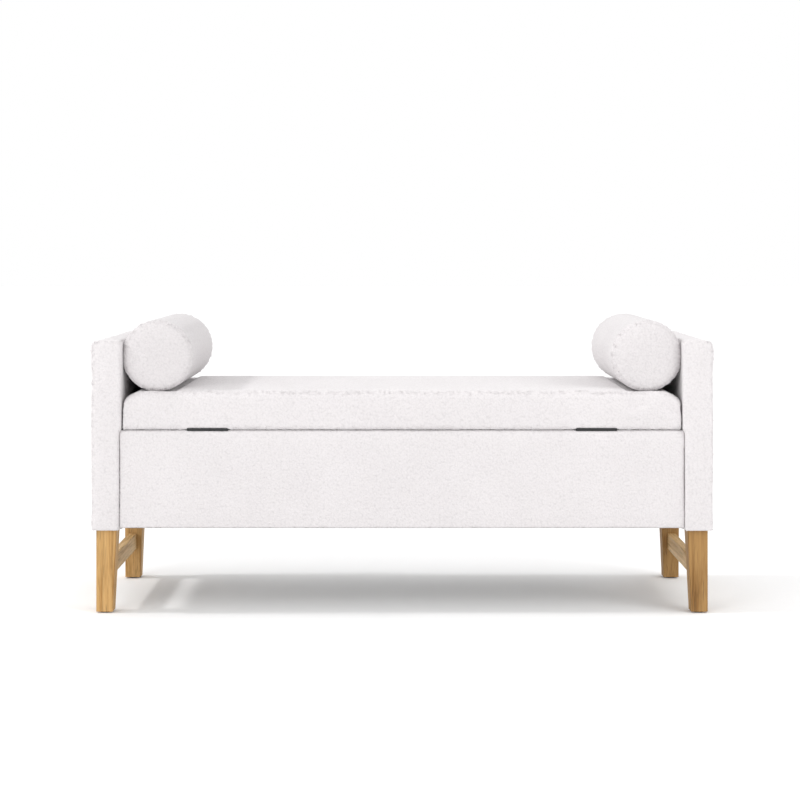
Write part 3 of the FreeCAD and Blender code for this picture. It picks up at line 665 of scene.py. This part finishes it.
def loops(name, body, pads, spacing, edge, limit, material, seed):
    """Curls of yarn standing out of the cloth where edge says so, each a small bent ring."""
    rng = np.random.default_rng(seed)
    spots, normals = [], []
    for pad in pads:
        points, facing = coordinates(pad), normals_of(pad)
        point_gap = 2.4 * MM
        chosen = rng.random(len(points)) < edge(points, facing) * (point_gap / spacing) ** 2
        spots.append(points[chosen])
        normals.append(facing[chosen])
    spots, normals = np.concatenate(spots), np.concatenate(normals)
    count = len(spots)
    aside = np.cross(normals, rng.normal(size=(count, 3)))
    aside /= np.linalg.norm(aside, axis=1, keepdims=True)
    lean = np.cross(normals, aside) * rng.uniform(-0.5, 0.5, (count, 1))
    up = normals + lean
    up /= np.linalg.norm(up, axis=1, keepdims=True)
    across = np.cross(up, aside)
    size = rng.uniform(1.1, 1.9, count) * MM
    yarn = rng.uniform(0.42, 0.62, count) * MM
    turns, sides = 8, 4
    ring = np.arange(turns) / turns * 2 * math.pi
    tube = np.arange(sides) / sides * 2 * math.pi
    places = np.empty((count, turns, sides, 3))
    for i, a in enumerate(ring):
        twist = 0.35 * np.sin(2 * a + rng.uniform(0, 6, count))
        middle = spots + (aside * math.cos(a) * 1.15 + up * (math.sin(a) * 0.85 - 0.15)
                          + across * twist[:, None]) * size[:, None]
        out = aside * math.cos(a) + up * math.sin(a)
        for j, b in enumerate(tube):
            places[:, i, j] = middle + (out * math.cos(b) + across * math.sin(b)) * yarn[:, None]
    places = limit(places.reshape(-1, 3))
    ids = np.arange(turns * sides).reshape(turns, sides)
    beside, onward = np.roll(ids, -1, 1), np.roll(ids, -1, 0)
    quads = np.stack([ids, beside, np.roll(onward, -1, 1), onward], -1).reshape(-1, 4)
    quads = (quads[None] + (np.arange(count) * turns * sides)[:, None, None]).reshape(-1, 4)
    obj = mesh_object(name, places, quads, material)
    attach(obj, body)


def dust_cloth(node, body, seed):
    """A thin stapled cloth, a little slack between its edges."""
    low, high = node_box(node)
    points, quads = lattice(low, high, 8 * MM)
    half = (high - low) / 2
    middle = (low + high) / 2
    edge = (half - np.abs(points - middle))[:, :2].min(axis=1)
    slack = smooth(edge, 0.004, 0.060)
    points[:, 2] += 0.35 * MM * slack * (noise(points * (1, 1, 0), 0.070, seed) - 0.6)
    obj = mesh_object(node + "_cloth", points, quads, DUST_CLOTH)
    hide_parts(node)
    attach(obj, body)
    staples = bpy.data.curves.new(node + "_staples", "CURVE")
    staples.dimensions, staples.bevel_depth, staples.bevel_resolution = "3D", 0.35 * MM, 1
    inset, crown, pitch = 6 * MM, 5 * MM, 58 * MM
    jitter = np.random.default_rng(seed)
    spots = []
    for axis in (0, 1):
        run = half[axis] - 2 * inset
        for at in np.linspace(-run, run, int(2 * run / pitch) + 1):
            for end in (-1, 1):
                spot = middle.copy()
                spot[axis] += at + jitter.uniform(-3, 3) * MM
                spot[1 - axis] += end * (half[1 - axis] - inset)
                spots.append((spot, axis, jitter.uniform(-0.25, 0.25)))
    for spot, axis, tilt in spots:
        lead = np.array([math.cos(tilt), math.sin(tilt), 0.0])
        if axis == 1:
            lead = lead[[1, 0, 2]]
        face = low[2] - 0.15 * MM
        corners = [spot + lead * crown * reach for reach in (-1, -0.92, 0.92, 1)]
        levels = [high[2], face, face, high[2]]
        spline = staples.splines.new("POLY")
        spline.points.add(3)
        for point, corner, level in zip(spline.points, corners, levels):
            point.co = (corner[0], corner[1], level, 1)
    staples.materials.append(STEEL)
    pinned = bpy.data.objects.new(node + "_staples", staples)
    bpy.context.scene.collection.objects.link(pinned)
    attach(pinned, body)


ARMS = [arm(side) for side in SIDES]
ROLLS = {side: bolster(side) for side in SIDES}
PANELS = [panel(side) for side in ("front", "rear")]
SEAT = seat()
inflate(PADS)
for finish in FINISHING:
    finish()


def on_edges(points, facing):
    """1 where a surface turns over an edge, none on the flat or underneath."""
    turned = 1 - smooth(np.abs(facing).max(axis=1), 0.80, 0.93)
    return turned * (facing[:, 2] > -0.75)


def roll_ends(points, facing):
    """1 round the rim of each end of a bolster."""
    endwise = np.abs(facing[:, 1])
    return smooth(endwise, 0.15, 0.35) * (1 - smooth(endwise, 0.65, 0.85)) * (facing[:, 2] > -0.85)


def off_bumpers(points):
    """Whether each point is clear of the bumpers along the bench."""
    away = np.abs(points[:, 0])
    return (away < 0.361) | (away > 0.453)


def seat_edges(points, facing):
    """The seat's turned edges and its hem, but not at the bumpers or under the bolsters."""
    away, across = np.abs(points[:, 0]), np.abs(points[:, 1])
    hem = (across > 0.190) * (1 - smooth(points[:, 2], 0.388, 0.394)) * 2.2
    clear = off_bumpers(points) | (points[:, 2] > 0.390)
    off_bolsters = (away < 0.425) | (points[:, 2] < SEAT_UPPER) | (across > 0.196)
    return np.maximum(on_edges(points, facing), hem * (facing[:, 2] > -0.9)) * clear * off_bolsters


def box_edges(points, facing):
    """The turned edges of the arms and front panel, but not inside the box or against the seat."""
    away, across = np.abs(points[:, 0]), np.abs(points[:, 1])
    inside = (away < 0.5865) & (across < 0.200)
    behind = (facing[:, 0] * points[:, 0] < 0) & (away > 0.56) & (facing[:, 2] < 0.5)
    behind &= np.abs(facing[:, 0]) > 0.6
    clear = off_bumpers(points) | (points[:, 2] < 0.378)
    return on_edges(points, facing) * ~inside * ~behind * clear


def above_seam(points):
    """Hold the lid's loops off the box's cloth and the arms."""
    above = points[:, 2] - SEAM_HIGH
    points[:, 2] = SEAM_HIGH + np.where(above < 0, above * 0.15, above)
    limit = SEAT_END + 0.7 * MM
    points[:, 0] = np.clip(points[:, 0], -limit, limit)
    return points


def below_seam(points):
    """Hold the box's loops off the lid's cloth."""
    lapped = (np.abs(points[:, 0]) < 0.592) & (points[:, 2] > SEAM_LOW) & (points[:, 2] < 0.3875)
    points[:, 2] = np.where(lapped, SEAM_LOW + (points[:, 2] - SEAM_LOW) * 0.1, points[:, 2])
    return points


def off_seat_and_arm(points):
    """Hold a bolster's loops off the seat and the arm."""
    limit = BOLSTER_END + 0.1 * MM
    points[:, 2] = np.maximum(points[:, 2], BOLSTER_FLOOR - 0.1 * MM)
    points[:, 0] = np.clip(points[:, 0], -limit, limit)
    return points


loops("seat_yarn_loops", "lid", [SEAT], 5.0 * MM, seat_edges, above_seam, YARN, 201)
loops("box_yarn_loops", "box", ARMS + [PANELS[0]], 5.0 * MM, box_edges, below_seam, YARN, 211)
for side, roll in ROLLS.items():
    loops("bolster_yarn_loops_" + side, "bolster_" + side, [roll], 6.5 * MM, roll_ends,
          off_seat_and_arm, YARN, 221 + SIDES[side])
dust_cloth("bottom_dust_cover", "box", 151)
dust_cloth("lid_dust_cover", "lid", 161)


# ---------------------------------------------------------------- floor, light and camera

def stage_floor():
    n = Nodes("floor")
    grain = n.add("TexNoise", {"Vector": n.coords, "Scale": 3.0, "Detail": 2.0})
    material = n.finish(Base_Color=n.grey(grain.outputs["Fac"], (0.3, 0.895), (0.7, 0.905)),
                        Roughness=0.9, Specular_IOR_Level=0.1)
    size = 30.0
    points = np.array([(-size, -size, 0), (size, -size, 0), (size, size, 0), (-size, size, 0)])
    mesh_object("floor", points, np.array([[0, 1, 2, 3]]), material)


def sun(name, source, strength, angle, colour=(1, 1, 1)):
    """A distant light shining from source towards the origin."""
    data = bpy.data.lights.new(name, "SUN")
    data.energy, data.angle, data.color = strength, math.radians(angle), colour
    lamp = bpy.data.objects.new(name, data)
    lamp.rotation_euler = Vector(source).to_track_quat("Z", "Y").to_euler()
    bpy.context.scene.collection.objects.link(lamp)


def panel_light(name, place_at, aim, size, power):
    """A square soft light, seen only by what it lights."""
    data = bpy.data.lights.new(name, "AREA")
    data.shape, data.size, data.energy = "SQUARE", size, power
    lamp = bpy.data.objects.new(name, data)
    lamp.location = place_at
    lamp.rotation_euler = (Vector(place_at) - Vector(aim)).to_track_quat("Z", "Y").to_euler()
    lamp.visible_camera = False
    bpy.context.scene.collection.objects.link(lamp)


stage_floor()
sun("key", (-1.04, -0.02, 1.0), 1.0, 6.0)
panel_light("front_fill", (-3.0, -4.0, 1.5), (0.1, 0, 0.2), 2.2, 54.0)
panel_light("side_fill", (2.7, -2.0, 2.2), (0, 0, 0.3), 1.6, 30.0)

world = bpy.data.worlds.new("studio")
world.use_nodes = True
world.node_tree.nodes["Background"].inputs["Color"].default_value = (1, 1, 1, 1)
world.node_tree.nodes["Background"].inputs["Strength"].default_value = 1.0
bpy.context.scene.world = world

camera_data = bpy.data.cameras.new("camera")
camera_data.lens, camera_data.sensor_width = 76.5, 36
camera_data.shift_x, camera_data.shift_y = -0.0025, -0.189
camera = bpy.data.objects.new("camera", camera_data)
camera.location = (0, -3.761, 0.762)
camera.rotation_euler = (math.radians(90), 0, 0)
bpy.context.scene.collection.objects.link(camera)
bpy.context.scene.camera = camera
bpy.context.scene.view_settings.view_transform = "Standard"
